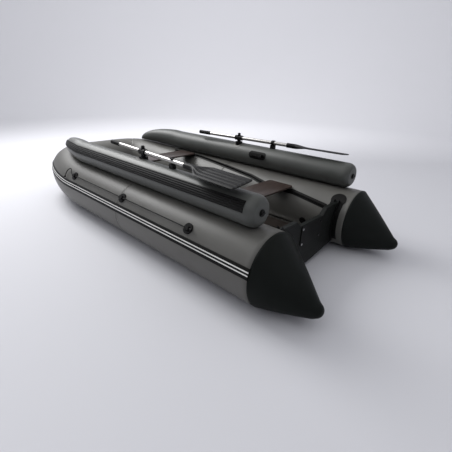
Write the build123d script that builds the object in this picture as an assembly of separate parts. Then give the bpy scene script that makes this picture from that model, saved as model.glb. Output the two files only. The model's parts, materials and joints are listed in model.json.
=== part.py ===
from build123d import *
from math import asin, atan2, cos, degrees, pi, radians, sin, sqrt, tan
import os

# Inflatable dinghy. Millimetres, +X to the bow, +Y to port, +Z up.
# The origin is on the ground, under the middle of the boat.

# Driving dimensions of the hull
overall_length = 3640.0
tube_radius = 240.0
tube_offset = 572.6          # centre line of a side tube from the middle of the boat
fabric = 1.2                 # coated fabric of every air chamber
glue_gap = 0.3               # glue line under everything that is stuck to a tube
cone_length = 307.0          # stern seam to the centre of the cone's ball tip
cone_tip_radius = 47.0
cone_tip_out = 9.4           # the ball tip is this much further out than the tube
cone_tip_height = 127.7
chamber_seam = 1375.0        # forward of the stern seam
bow_start = 2300.0           # where the side tubes start to turn in
shoulder_turn = 20.0         # degrees of the long gentle arc
shoulder_panels = 2
corner_panels = 4
corner_radius = 278.0
nose_inset = 367.6           # half the straight bow tube is this much less than tube_offset
bow_rise = 40.0

# Rubbing strake and its two white stripes, in degrees above the tube's side
strake_low = 7.8
strake_high = 24.2
strake_thick = 5.0
stripe_angles = (14.1, 18.7)
stripe_width = 2.0
stripe_thick = 0.8

# Upper tubes on the side tubes
rail_tube_radius = 100.0
rail_tube_out = 20.4         # centre line further out than the side tube's
rail_tube_start = 97.0
rail_strake_low = 5.0
rail_strake_high = 47.0
rail_strake_thick = 6.0
rail_strake_start = 158.0
# Rings of the rounded stern end and of the pointed bow end: distance along, radius
rail_tube_end_rings = ((0.0, 60.0), (5.0, 74.0), (14.0, 86.0), (30.0, 95.0), (56.0, 100.0))
rail_tube_taper = ((2250.0, 100.0), (2350.0, 99.0), (2450.0, 96.0), (2540.0, 91.0), (2620.0, 83.0),
                   (2700.0, 70.0), (2770.0, 54.0), (2828.0, 36.0), (2868.0, 18.0), (2886.0, 6.0))

# Floor and bottom
keel_height = 30.0
bottom_edge_angle = 38.0     # degrees under the inner side of the side tube
skin = 1.5
keelson_radius = 44.0
board_thick = 9.0
board_side_gap = 12.4        # from the stringers to the side tubes
board_bays = (165.0, 760.0, 1340.0, 1920.0, 2560.0)
joiner_web = 3.0
joiner_flange = 16.0
joiner_thick = 1.6
stringer_wall = 1.8
stringer_depth = 30.0
fit_gap = 0.4

# Transom
transom_aft = 85.0
transom_thick = 32.0
transom_top = 412.0
notch_top = 365.0
notch_half = 150.0
notch_slope = 55.0
holder_thick = 4.0
holder_flange = 26.0
holder_patch_radius = 60.0
holder_angle = 46.0
plate_half = 140.0
plate_height = 150.0
plate_thick = 6.0
bolt_radius = 4.0
bolt_head_radius = 9.0
bolt_head = 3.0
bolt_sink = 0.3              # heads lie this far under the plates' faces
drain_side = 150.0
drain_height = 96.0
drain_radius = 14.0
drain_flange = 25.0

# Seat rails, benches
track_bead = 5.0
track_reach = 16.0           # bead centre from the tube's skin
track_stations = ((172.0, 29.0), (500.0, 40.0), (800.0, 40.0), (1000.0, 50.0), (1790.0, 70.0),
                  (2240.0, 70.0))
clamp_wall = 6.0
bench_thick = 16.0
# Aft edge, fore edge, track angle, plank end beyond the bead, plank above the bead
rear_bench = (520.0, 770.0, 40.0, 35.5, 20.0)
front_bench = (1850.0, 2080.0, 70.0, -20.0, 2.0)

# Oars, each on a pin on the upper tube
pin_place = 1300.0
pin_inset = 29.0             # from the upper tube's centre line
pin_radius = 6.0
pin_clearance = 0.05
oar_lift = 51.3              # shaft's axis over the crown of the upper tube
oar_turn = atan2(77.0, 1090.0)
shaft_radius = 16.0
shaft_wall = 1.5
grip_end = 541.0
grip_start = 381.0
sleeve_start = 551.0
blade_start = 640.0
blade_end = 1103.0
blade_width = 170.0
blade_thick = 5.0
blade_tilt = 9.0
clip_back = 401.0

# Lifelines
line_radius = 4.0
line_angle = 38.0
line_reach = 15.0
line_aft = 512.0
holder_stations = (540.0, 1330.0, 2172.0)
patch_radius = 37.0

# Valves of the side, bow and upper chambers
valve_barrel = 16.0
valve_flange = 29.0
small_valve_barrel = 12.0
small_valve_flange = 22.0
rim_sink = 12.0
valve_station = 350.0
valve_drop = -12.0
bow_valve_side = 110.0
bow_valve_up = 15.0

# Carry handles on the upper tubes
handle_centre = 1005.0
handle_length = 190.0
handle_up = 18.0

# Tow patch and ring under the nose
tow_drop = 35.0
ring_major = 22.0
ring_minor = 3.5

half = overall_length / 2
nose_half = tube_offset - nose_inset
cone_tip_offset = tube_offset + cone_tip_out
stern_seam = -half + cone_length + cone_tip_radius
strake_outer = tube_radius + glue_gap + strake_thick
nose_axis = half - strake_outer * cos(radians(strake_low))
slant = radians(bottom_edge_angle)
edge_side = tube_offset - tube_radius * cos(slant)
edge_height = tube_radius - tube_radius * sin(slant)
bottom_slope = (edge_height - keel_height) / edge_side
rail_tube_lift = sqrt((tube_radius + rail_tube_radius + glue_gap) ** 2 - rail_tube_out ** 2)
rail_tube_height = tube_radius + rail_tube_lift
rail_tube_offset = tube_offset + rail_tube_out
board_under = keel_height + skin + 2 * keelson_radius + 3.0
board_top = board_under + board_thick
stringer_top = board_top + fit_gap + stringer_wall
board_half = tube_offset - sqrt(tube_radius ** 2 - (tube_radius - stringer_top) ** 2) - board_side_gap
pin_offset = rail_tube_offset - pin_inset
oar_height = rail_tube_height + rail_tube_radius + oar_lift


def at(distance):
    """X of a place that far forward of the stern seam."""
    return stern_seam + distance


def write(name, *shapes):
    """Write the solids of one node."""
    solids = [solid for shape in shapes for solid in shape.solids()]
    export_step(Compound(solids), f"parts/{name}.step")


def other_side(shape):
    return mirror(shape, about=Plane.XZ)


def both(shape):
    """A port piece and its starboard twin."""
    return [shape, other_side(shape)]


def cross_plane(x, y=0.0, z=0.0):
    """Plane across the boat: its x runs to port and its y runs up."""
    return Plane((x, y, z), x_dir=(0, 1, 0), z_dir=(1, 0, 0))


def long_bar(x0, x1, y, z, sketch):
    """A section carried straight forward from x0 to x1."""
    return extrude(cross_plane(x0, y, z) * sketch, amount=x1 - x0)


def sector(inner, outer, low, high):
    """Part of a ring, in degrees from the section's x."""
    def point(radius, angle):
        return (radius * cos(radians(angle)), radius * sin(radians(angle)))

    middle = (low + high) / 2
    return make_face([
        Line(point(inner, low), point(outer, low)),
        ThreePointArc(point(outer, low), point(outer, middle), point(outer, high)),
        Line(point(outer, high), point(inner, high)),
        ThreePointArc(point(inner, high), point(inner, middle), point(inner, low)),
    ])


def rounded_box(x0, x1, y0, y1, z0, z1):
    """A plain block between two corners."""
    size = (x1 - x0, y1 - y0, z1 - z0)
    return Pos((x0 + x1) / 2, (y0 + y1) / 2, (z0 + z1) / 2) * Box(*size)


# The centre line of the bow, port side, from the straight tube to the nose

def shoulder_radius():
    """Radius of the gentle arc that ends where the tight corner arc starts."""
    turn = radians(shoulder_turn)
    corner_side = corner_radius * cos(turn)
    return (tube_offset - nose_half - corner_side) / (1 - cos(turn))


def bow_points():
    turn = radians(shoulder_turn)
    gentle = shoulder_radius()
    corner_centre = nose_axis - corner_radius
    corner_start = corner_centre + corner_radius * sin(turn)
    start = corner_start - gentle * sin(turn)
    flat = []
    for step in range(shoulder_panels + 1):
        angle = turn * step / shoulder_panels
        flat.append((start + gentle * sin(angle), tube_offset - gentle * (1 - cos(angle))))
    for step in range(1, corner_panels + 1):
        angle = turn + (radians(90) - turn) * step / corner_panels
        flat.append((corner_centre + corner_radius * sin(angle), nose_half + corner_radius * cos(angle)))
    reach = flat[-1][0] - start
    points = []
    for x, y in flat:
        share = (x - start) / reach
        rise = bow_rise * share * share * (3 - 2 * share)
        points.append(Vector(x, y, tube_radius + rise))
    return points


bow = bow_points()
seam_point = Vector(at(chamber_seam), tube_offset, tube_radius)
nose_port = bow[-1]
nose_starboard = Vector(nose_port.X, -nose_port.Y, nose_port.Z)
nose_height = nose_port.Z


def section_plane(origin, direction):
    """Section plane of a tube: x outboard, y up, normal along the tube."""
    outboard = Vector(0, 0, 1).cross(direction).normalized()
    return Plane(origin, x_dir=outboard, z_dir=direction)


def mitre(before, here, after):
    """The plane in which two runs of tube meet."""
    normal = (here - before).normalized() + (after - here).normalized()
    return Plane(here, z_dir=normal.normalized())


def run(points, index, sketch):
    """One panel of a mitred tube, between points index and index + 1."""
    first = points[index]
    last = points[index + 1]
    direction = (last - first).normalized()
    spare = 90.0
    start = first - direction * spare
    length = (last - first).length + 2 * spare
    panel = extrude(section_plane(start, direction) * sketch, amount=length)
    if index > 0:
        low = mitre(points[index - 1], first, last)
    else:
        low = Plane(first, z_dir=direction)
    if index + 2 < len(points):
        high = mitre(first, last, points[index + 2])
    else:
        high = Plane(last, z_dir=direction)
    panel = split(panel, bisect_by=low, keep=Keep.TOP)
    return split(panel, bisect_by=high, keep=Keep.BOTTOM)


port_line = [seam_point] + bow + [nose_starboard]
nose_index = len(port_line) - 2


def tube_over(x):
    """Side, height and slope of the port centre line at x."""
    line = port_line[:-1]
    if x <= line[0].X:
        return tube_offset, tube_radius, 0.0
    for first, last in zip(line[:-1], line[1:]):
        if x <= last.X:
            share = (x - first.X) / (last.X - first.X)
            spot = first + (last - first) * share
            slope = (last.Z - first.Z) / (last - first).length
            return spot.Y, spot.Z, slope
    return line[-1].Y, line[-1].Z, 0.0


def tube_core(margin):
    """The port tube as one filled shape, grown by a margin, for cutting fits."""
    disc = Circle(tube_radius + margin)
    core = [long_bar(at(0), port_line[0].X + 1, tube_offset, tube_radius, disc)]
    core += [run(port_line, index, disc) for index in range(nose_index)]
    core.append(mirrored_nose(disc))
    return core


def mirrored_nose(sketch):
    """The run across the nose, mitred at both of its ends."""
    points = [bow[-2], nose_port, nose_starboard, Vector(bow[-2].X, -bow[-2].Y, bow[-2].Z)]
    return run(points, 1, sketch)


# Air chambers

def aft_tube():
    tube = long_bar(at(0), at(chamber_seam), tube_offset, tube_radius,
                    Circle(tube_radius) - Circle(tube_radius - fabric))
    return tube - side_valve_plane() * Cylinder(valve_barrel + fit_gap, 700)


def fore_tube():
    return run(port_line, 0, Circle(tube_radius) - Circle(tube_radius - fabric))


def bow_panels():
    ring = Circle(tube_radius) - Circle(tube_radius - fabric)
    return [run(port_line, index, ring) for index in range(1, nose_index)]


def nose_panel():
    ring = Circle(tube_radius) - Circle(tube_radius - fabric)
    hole = bow_valve_plane() * Pos(0, 0, 200) * Cylinder(valve_barrel + fit_gap, 200)
    return mirrored_nose(ring) - hole


def bulkhead():
    """Fabric wall inside the tube at the chamber seam."""
    disc = Circle(tube_radius - fabric - glue_gap)
    return long_bar(at(chamber_seam) - fabric, at(chamber_seam), tube_offset, tube_radius, disc)


def cone_shape(shrink, side):
    tip = cross_plane(at(-cone_length), side * cone_tip_offset, cone_tip_height)
    seam = cross_plane(at(0), side * tube_offset, tube_radius)
    body = loft([tip * Circle(cone_tip_radius - shrink), seam * Circle(tube_radius - shrink)], ruled=True)
    ball = Pos(at(-cone_length), side * cone_tip_offset, cone_tip_height) * Sphere(cone_tip_radius - shrink)
    aft_of_tip = rounded_box(at(-cone_length) - 100, at(-cone_length), -900, 900, 0, 400)
    return body + (ball & aft_of_tip)


def stern_cone(side):
    return cone_shape(0, side) - cone_shape(fabric, side)


# Upper tubes

taper_length = rail_tube_taper[-1][0] - rail_tube_taper[0][0]


def rail_ring_centre(distance, radius):
    """Centre of an upper tube's ring, resting on the tube below it."""
    x = at(distance)
    side, height, slope = tube_over(x)
    into_taper = max(0.0, distance - rail_tube_taper[0][0]) / taper_length
    out = rail_tube_out * (1 - into_taper)
    crown = tube_radius / sqrt(1 - slope * slope)
    spare = glue_gap + 7.0 * min(1.0, 6 * into_taper)
    lift = sqrt((crown + radius + spare) ** 2 - out * out)
    return x, side + out, height + lift


def rail_rings():
    """Distance and radius of each ring of an upper tube, stern to bow."""
    rings = []
    for step, radius in rail_tube_end_rings:
        rings.append((rail_tube_start + step, radius * rail_tube_radius / 100.0))
    for distance, radius in rail_tube_taper:
        rings.append((distance, radius * rail_tube_radius / 100.0))
    return rings


def rail_tube_shape(shrink):
    faces = []
    for distance, radius in rail_rings():
        centre = resting_centre(distance, radius)
        faces.append(cross_plane(*centre) * Circle(max(radius - shrink, 2.0)))
    return loft(faces, ruled=True)


def resting_centre(distance, radius):
    """The stern end's rings share the axis; the bow's rings ride up the tube."""
    if distance <= rail_tube_taper[0][0]:
        return at(distance), rail_tube_offset, rail_tube_height
    return rail_ring_centre(distance, radius)


def rail_tube():
    inner = rail_tube_shape(fabric)
    keep = rounded_box(at(rail_tube_start) + fabric, at(rail_tube_taper[-1][0]) - fabric, 0, 900, 300, 900)
    shell = rail_tube_shape(0) - (inner & keep)
    hole = long_bar(at(rail_tube_start) - 5, at(rail_tube_start) + 5, rail_tube_offset, rail_tube_height,
                    Circle(small_valve_barrel + fit_gap))
    return shell - hole


def rail_strake():
    """Moulded strip along the outboard shoulder of an upper tube."""
    faces = []
    first_radius = rail_tube_radius
    stations = [(rail_strake_start, first_radius)]
    stations += [(distance, radius * rail_tube_radius / 100.0) for distance, radius in rail_tube_taper[:-1]]
    for distance, radius in stations:
        centre = resting_centre(distance, radius)
        inner = radius + glue_gap
        outer = inner + rail_strake_thick
        faces.append(cross_plane(*centre) * sector(inner, outer, rail_strake_low, rail_strake_high))
    return loft(faces, ruled=True)


# Rubbing strake round the whole hull

def strake_runs(low, high, inner, outer):
    """A band on the port side, its bow panels and the nose."""
    band = sector(inner, outer, low, high)
    pieces = [extrude(cross_plane(at(0), tube_offset, tube_radius) * band, amount=chamber_seam)]
    pieces += [run(port_line, index, band) for index in range(nose_index)]
    return pieces, mirrored_nose(band)


def rub_strake():
    return strake_runs(strake_low, strake_high, tube_radius + glue_gap, strake_outer)


def stripe(angle):
    spread = degrees(stripe_width / strake_outer) * 2
    return strake_runs(angle - spread, angle + spread, strake_outer, strake_outer + stripe_thick)


# Bottom, keelson, floor

def inside_outline(start, margin):
    """Half plan of the space inside the centre line, from start to the nose."""
    points = [(start, margin)]
    points += [(start, tube_offset)]
    points += [(point.X, point.Y) for point in bow]
    points += [(nose_port.X, margin)]
    return points


def bottom_panel():
    """One flat half of the V bottom, cut to the tube that it is glued to."""
    outline = Polyline(*inside_outline(at(transom_aft), 0.2), close=True)
    column = extrude(make_face(outline), amount=300)
    low = keel_height
    high = keel_height + bottom_slope * 600
    section = Polyline((0, low), (600, high), (600, high + skin), (0, low + skin), close=True)
    slab = long_bar(at(0), half, 0, 0, make_face(section))
    panel = column & slab
    for core in tube_core(glue_gap):
        panel = panel - core
    return max(panel.solids(), key=lambda solid: solid.volume)


def keel_guard():
    width = 30.0
    drop = glue_gap
    low = keel_height - drop
    rise = bottom_slope * width
    section = Polyline((-width, low + rise), (-width, low + rise - 3), (0, low - 3),
                       (width, low + rise - 3), (width, low + rise), (0, low), close=True)
    return long_bar(at(transom_aft + 10), at(2700), 0, 0, make_face(section))


def keelson():
    centre = keel_height + (skin + keelson_radius) * sqrt(1 + bottom_slope ** 2) + glue_gap
    body = long_bar(at(board_bays[0]), at(2500), 0, centre, Circle(keelson_radius))
    inner = Circle(keelson_radius - fabric)
    hollow = long_bar(at(board_bays[0]) + fabric, at(2500) - fabric, 0, centre, inner)
    return body - hollow


def board_blank(start, end):
    return rounded_box(at(start), at(end), -board_half, board_half, board_under, board_top)


def bow_board():
    """The foremost board, narrowed to the inside of the bow."""
    start = at(board_bays[3]) + joiner_web / 2 + fit_gap
    straight = at(2230)
    tip = at(board_bays[4])
    outline = Polyline((start, -board_half), (straight, -board_half), (tip, -190), (tip, 190),
                       (straight, board_half), (start, board_half), close=True)
    return Pos(0, 0, board_under) * extrude(make_face(outline), amount=board_thick)


def floor_boards():
    gap = joiner_web / 2 + fit_gap
    side = board_half - stringer_wall - fit_gap
    aft, first, second, third = board_bays[:4]
    spans = ((aft, first - gap), (first + gap, second - gap), (second + gap, third - gap))
    return [rounded_box(at(a), at(b), -side, side, board_under, board_top) for a, b in spans]


def joiners():
    """Aluminium H bars between the boards."""
    bars = []
    side = board_half - stringer_depth - stringer_wall - 2 * fit_gap
    low = board_under - fit_gap - joiner_thick
    high = board_top + fit_gap
    for place in board_bays[1:4]:
        x = at(place)
        web = rounded_box(x - joiner_web / 2, x + joiner_web / 2, -side, side, low, high + joiner_thick)
        top = rounded_box(x - joiner_flange, x + joiner_flange, -side, side, high, high + joiner_thick)
        under = Pos(0, 0, low - high) * top
        under = under - rounded_box(x - 50, x + 50, -keelson_radius, keelson_radius, 0, high - 1)
        web = web - rounded_box(x - 50, x + 50, -keelson_radius, keelson_radius, 0, board_under)
        bars.append(web + top + under)
    return bars


def stringer():
    """Aluminium channel along the side of the boards."""
    low = board_under - fit_gap
    high = board_top + fit_gap
    outer = rounded_box(at(300), at(board_bays[3] - 60), board_half - stringer_depth, board_half,
                        low - stringer_wall, high + stringer_wall)
    slot = rounded_box(at(0), at(3000), 0, board_half - stringer_wall, low, high)
    return outer - slot


# Transom and what is on it

transom_fore = transom_aft + transom_thick


def transom_board():
    low = keel_height + skin + glue_gap
    wide = tube_offset
    outline = Polyline((0, low), (wide, low + bottom_slope * wide), (wide, transom_top),
                       (notch_half + notch_slope, transom_top), (notch_half, notch_top),
                       (-notch_half, notch_top), (-notch_half - notch_slope, transom_top),
                       (-wide, transom_top), (-wide, low + bottom_slope * wide), close=True)
    board = long_bar(at(transom_aft), at(transom_fore), 0, 0, make_face(outline))
    seat = tube_radius + glue_gap + holder_thick + fit_gap
    for side in (tube_offset, -tube_offset):
        board = board - long_bar(at(0), at(300), side, tube_radius, Circle(seat))
    for y, z in bolt_places():
        board = board - long_bar(at(0), at(300), y, z, Circle(bolt_radius + fit_gap))
    hole = long_bar(at(0), at(300), drain_side, drain_height, Circle(drain_radius + fit_gap))
    return board - hole


def transom_holder():
    """Rubber channel that holds the board's edge to the port tube."""
    inner = tube_radius + glue_gap
    outer = inner + holder_thick
    low = 180 - holder_angle
    high = 180 + 32
    base = long_bar(at(transom_aft - 36), at(transom_fore + 36), tube_offset, tube_radius,
                    sector(inner, outer, low, high))
    lip = sector(outer - 1, outer + holder_flange, low, high)
    aft = long_bar(at(transom_aft) - fit_gap - 4, at(transom_aft) - fit_gap, tube_offset, tube_radius, lip)
    fore = long_bar(at(transom_fore) + fit_gap, at(transom_fore) + fit_gap + 4, tube_offset, tube_radius, lip)
    shell = long_bar(at(-200), at(400), tube_offset, tube_radius, Circle(outer) - Circle(inner))
    centre = Plane((at(transom_aft + transom_thick / 2), tube_offset, tube_radius), x_dir=(1, 0, 0),
                   z_dir=(0, -cos(radians(holder_angle + 3)), sin(radians(holder_angle + 3))))
    patch = shell & extrude(centre * Circle(holder_patch_radius), amount=400)
    return base + aft + fore + patch


def bolt_places():
    top = notch_top - 30
    low = notch_top - plate_height + 5
    return [(y, z) for y in (-plate_half + 22, plate_half - 22) for z in (low, top)]


def motor_plate(x0, clamp_face):
    """Plate that the outboard's clamps bear on, with its bolt heads let in."""
    sketch = RectangleRounded(2 * plate_half, plate_height, 14)
    plate = long_bar(x0, x0 + plate_thick, 0, notch_top - plate_height / 2 - 5, sketch)
    depth = bolt_head + bolt_sink
    for y, z in bolt_places():
        plate = plate - long_bar(x0 - 5, x0 + 20, y, z, Circle(bolt_radius + fit_gap))
        recess = Circle(bolt_head_radius + fit_gap)
        plate = plate - long_bar(clamp_face - depth, clamp_face + depth, y, z, recess)
    return plate


def plate_bolts():
    """Flat-headed bolts with flat sleeve nuts, both under the plates' faces."""
    aft = at(transom_aft) - plate_thick + bolt_sink
    fore = at(transom_fore) + plate_thick - bolt_sink
    bolts = []
    for y, z in bolt_places():
        shank = long_bar(aft, fore, y, z, Circle(bolt_radius))
        head = long_bar(aft, aft + bolt_head, y, z, Circle(bolt_head_radius))
        nut = long_bar(fore - bolt_head, fore, y, z, Circle(bolt_head_radius))
        bolts.append(shank + head + nut)
    return bolts


def drain_body():
    """Flanged sleeve through the transom."""
    bore = drain_radius - 3
    aft = at(transom_aft)
    flange = long_bar(aft - 4, aft, drain_side, drain_height, Circle(drain_flange))
    sleeve = long_bar(aft - 4, at(transom_fore) + 6, drain_side, drain_height, Circle(drain_radius))
    nut = long_bar(at(transom_fore), at(transom_fore) + 6, drain_side, drain_height, Circle(drain_flange - 4))
    hole = long_bar(aft - 20, aft + 90, drain_side, drain_height, Circle(bore))
    return flange + sleeve + nut - hole


def drain_plug():
    """Push-in bung with a knob; it pulls out aft."""
    bore = drain_radius - 3
    aft = at(transom_aft) - 4
    stem = long_bar(aft - 3, aft + 22, drain_side, drain_height, Circle(bore - 0.4))
    cap = long_bar(aft - 7, aft - 0.4, drain_side, drain_height, Circle(19))
    knob = long_bar(aft - 26, aft - 7, drain_side, drain_height, RectangleRounded(22, 10, 3))
    return stem + cap + knob


def drain_loop():
    """Cord loop through the plug's knob, hanging aft of it."""
    x = at(transom_aft) - 4 - 20
    top = drain_height - 5
    points = [(x, drain_side + 4, top), (x - 3, drain_side + 6, top - 16), (x - 6, drain_side + 16, top - 26),
              (x - 8, drain_side + 12, top - 40), (x - 8, drain_side - 4, top - 44),
              (x - 7, drain_side - 14, top - 32), (x - 4, drain_side - 8, top - 17), (x, drain_side - 4, top)]
    return cord(points, 1.75)


# Cords

def corner_radii(points):
    """As large as the two runs at each corner allow."""
    corners = [Vector(*point) for point in points]
    radii = []
    for before, here, after in zip(corners[:-2], corners[1:-1], corners[2:]):
        first = here - before
        second = after - here
        turn = radians(first.get_angle(second))
        radii.append(0.45 * min(first.length, second.length) / tan(turn / 2))
    return radii


def cord(points, radius):
    """A tube of straight runs joined by tangent arcs."""
    radii = corner_radii(points)
    print("cord arcs", [round(value, 1) for value in radii])
    path = FilletPolyline(*points, radius=radii)
    start = Vector(*points[0])
    face = Plane(start, z_dir=path % 0) * Circle(radius)
    tube = sweep(face, path=path)
    share = tube.volume / (path.length * pi * radius ** 2)
    print("cord length", round(path.length, 1), "volume share", round(share, 4))
    return tube


line_y = tube_offset + (tube_radius + line_reach) * cos(radians(line_angle))
line_z = tube_radius + (tube_radius + line_reach) * sin(radians(line_angle))


def lifeline():
    """Tight from the knot to the foremost holder, then a free tail on the tube."""
    points = [(at(line_aft), line_y, line_z), (at(2216), line_y, line_z), (at(2245), 764, 416),
              (at(2268), 748, 432), (at(2298), 744, 437), (at(2322), 757, 423), (at(2331), 778, 398),
              (at(2325), 797, 366)]
    return cord(points, line_radius)


def tail_knot():
    end = Vector(at(2325), 797, 366)
    back = (end - Vector(at(2331), 778, 398)).normalized()
    return extrude(Plane(end, z_dir=back) * Circle(8), amount=14)


def aft_knot():
    return long_bar(at(line_aft - 18), at(line_aft), line_y, line_z, Circle(8))


def radial_plane(distance, degrees_up, inboard):
    """Plane on a side tube's axis whose normal points out through the skin."""
    side = -cos(radians(degrees_up)) if inboard else cos(radians(degrees_up))
    return Plane((at(distance), tube_offset, tube_radius), x_dir=(1, 0, 0),
                 z_dir=(0, side, sin(radians(degrees_up))))


def line_holder(distance):
    """Round moulded holder with a saddle that the lifeline runs through."""
    place = radial_plane(distance, line_angle, False)
    top = tube_radius + 7
    disc = extrude(place * Pos(0, 0, top - 40) * Circle(patch_radius), amount=40)
    disc = disc - long_bar(at(distance - 80), at(distance + 80), tube_offset, tube_radius,
                           Circle(tube_radius + glue_gap))
    saddle = extrude(place * Pos(0, 0, top - 1) * RectangleRounded(38, 26, 6), amount=line_reach - 7 + 10)
    hole = long_bar(at(distance - 80), at(distance + 80), line_y, line_z, Circle(line_radius + fit_gap))
    return disc + saddle - hole


# Valves



def side_valve_plane():
    return radial_plane(valve_station, valve_drop, True)


def bow_valve_plane():
    return Plane((nose_axis, bow_valve_side, nose_height), x_dir=(0, 1, 0),
                 z_dir=(-cos(radians(bow_valve_up)), 0, sin(radians(bow_valve_up))))


def valve_body(place, skin_at, barrel, flange, sink):
    """Barrel through the skin under a round flange; sink is how far the rim reaches down the curve."""
    stem = extrude(place * Pos(0, 0, skin_at - 30) * Circle(barrel), amount=30)
    rim = extrude(place * Pos(0, 0, skin_at - sink) * Circle(flange), amount=sink + 4)
    if sink > 0:
        rim = rim - side_core() - nose_core()
    socket = place * Pos(0, 0, skin_at + 4 - 20) * Cylinder(barrel - 4, 40)
    return rim + stem - socket


def valve_cap(place, skin_at, barrel, flange):
    """Bayonet cap: plug in the barrel, domed top with two finger lugs."""
    plug = extrude(place * Pos(0, 0, skin_at - 8) * Circle(barrel - 4 - fit_gap), amount=13)
    top = extrude(place * Pos(0, 0, skin_at + 4 + fit_gap) * Circle(flange - 4), amount=5)
    lugs = extrude(place * Pos(0, 0, skin_at + 8) * RectangleRounded(2 * flange - 12, 7, 3), amount=7)
    return plug + top + lugs


def side_core():
    return long_bar(at(100), at(900), tube_offset, tube_radius, Circle(tube_radius + glue_gap))


def nose_core():
    return mirrored_nose(Circle(tube_radius + glue_gap))


def rail_valve_plane():
    return Plane((at(rail_tube_start), rail_tube_offset, rail_tube_height), x_dir=(0, 1, 0), z_dir=(-1, 0, 0))


# Bench tracks and benches

def track_angle(distance):
    for (x0, a0), (x1, a1) in zip(track_stations[:-1], track_stations[1:]):
        if distance <= x1:
            return a0 + (a1 - a0) * (distance - x0) / (x1 - x0)
    return track_stations[-1][1]


def track_section(distance):
    """Flap, neck and bead of the bolt-rope track, square to the tube."""
    angle = radians(180 - track_angle(distance))
    radial = Vector(cos(angle), sin(angle))
    around = Vector(-sin(angle), cos(angle))

    def point(side, out):
        spot = radial * (tube_radius + out) + around * side
        return (spot.X, spot.Y)

    def on_skin(side, out):
        turn = side / tube_radius
        spot = radial * cos(turn) * (tube_radius + out) + around * sin(turn) * (tube_radius + out)
        return (spot.X, spot.Y)

    bead = track_bead
    chamfer = bead * 0.41
    reach = track_reach
    outline = [on_skin(-22, 0.6), on_skin(-11, 0.6), on_skin(0, 0.6), on_skin(11, 0.6), on_skin(22, 0.6),
               on_skin(22, 2.6), on_skin(11, 3.0), point(1.5, 3.2), point(1.5, reach - bead),
               point(bead, reach - chamfer), point(bead, reach + chamfer), point(chamfer, reach + bead),
               point(-chamfer, reach + bead), point(-bead, reach + chamfer), point(-bead, reach - chamfer),
               point(-1.5, reach - bead), point(-1.5, 3.2), on_skin(-11, 3.0), on_skin(-22, 2.6)]
    face = make_face(Polyline(*outline, close=True))
    return cross_plane(at(distance), tube_offset, tube_radius) * face


def seat_track():
    distances = []
    for (x0, a0), (x1, a1) in zip(track_stations[:-1], track_stations[1:]):
        steps = max(1, round(abs(a1 - a0) / 3.4))
        distances += [x0 + (x1 - x0) * step / steps for step in range(steps)]
    distances.append(track_stations[-1][0])
    return loft([track_section(distance) for distance in distances], ruled=True)


def bench_plank(bench):
    start, end, angle, beyond, above = bench
    side, height = bead_place(angle)
    low = height + above
    sketch = RectangleRounded(end - start, 2 * (side + beyond), 28)
    plank = extrude(Plane((at((start + end) / 2), 0, low)) * sketch, amount=bench_thick)
    return fillet(plank.edges().group_by(Axis.Z)[-1], 4)


def bead_place(angle):
    out = tube_radius + track_reach
    return tube_offset - out * cos(radians(angle)), tube_radius + out * sin(radians(angle))


def bench_bracket(bench):
    """Port slider: a split sleeve round the bead, with an arm under the plank."""
    start, end, angle, beyond, above = bench
    side, height = bead_place(angle)
    low = height + above
    x0 = at(start + 45)
    x1 = at(end - 45)
    bore = track_bead + 1.0
    outer = bore + clamp_wall
    sleeve = long_bar(x0, x1, side, height, Circle(outer))
    if above > outer:
        arm = rounded_box(x0, x1, side - 62, side + 6, low - 8, low)
        arm = arm + rounded_box(x0, x1, side - 10, side + 6, height, low)
    else:
        arm = rounded_box(x0, x1, side - 62, side - outer + 3, low - 8, low)
    neck = Rot(0, 0, 180 - angle) * Pos(-20, 0) * Rectangle(40, 6)
    slot = long_bar(x0 - 1, x1 + 1, side, height, Circle(bore) + neck)
    return sleeve + arm - slot


# Oars

oar_plane = Plane((at(pin_place), pin_offset, oar_height), x_dir=(cos(oar_turn), -sin(oar_turn), 0),
                  z_dir=(0, 0, 1))


def along_oar(u0, u1, sketch):
    """A section carried along the oar; u runs from the pin to the grip."""
    plane = Plane((u0, 0, 0), x_dir=(0, 1, 0), z_dir=(1, 0, 0))
    return extrude(plane * sketch, amount=u1 - u0)


def on_oar(shape):
    return oar_plane.location * shape


def oar_grip():
    grip = along_oar(grip_start, grip_end, Circle(18.5))
    grip = fillet(grip.edges(), 5)
    return on_oar(grip - along_oar(grip_start - 5, grip_end - 6, Circle(shaft_radius + 0.05)))


def oar_shaft():
    wall = Circle(shaft_radius) - Circle(shaft_radius - shaft_wall)
    tube = along_oar(-sleeve_start - 60, grip_end - 8, wall)
    return on_oar(tube - Cylinder(pin_radius + 1.0, 60))


def oar_collar():
    """Moulded collar with the upright bore that the oarlock pin stands in."""
    body = along_oar(-40, 40, Circle(24)) + Pos(0, 0, -1) * Cylinder(19, 52)
    body = body - along_oar(-50, 50, Circle(shaft_radius + 0.05))
    return on_oar(body - Cylinder(pin_radius + pin_clearance, 80))


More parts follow.
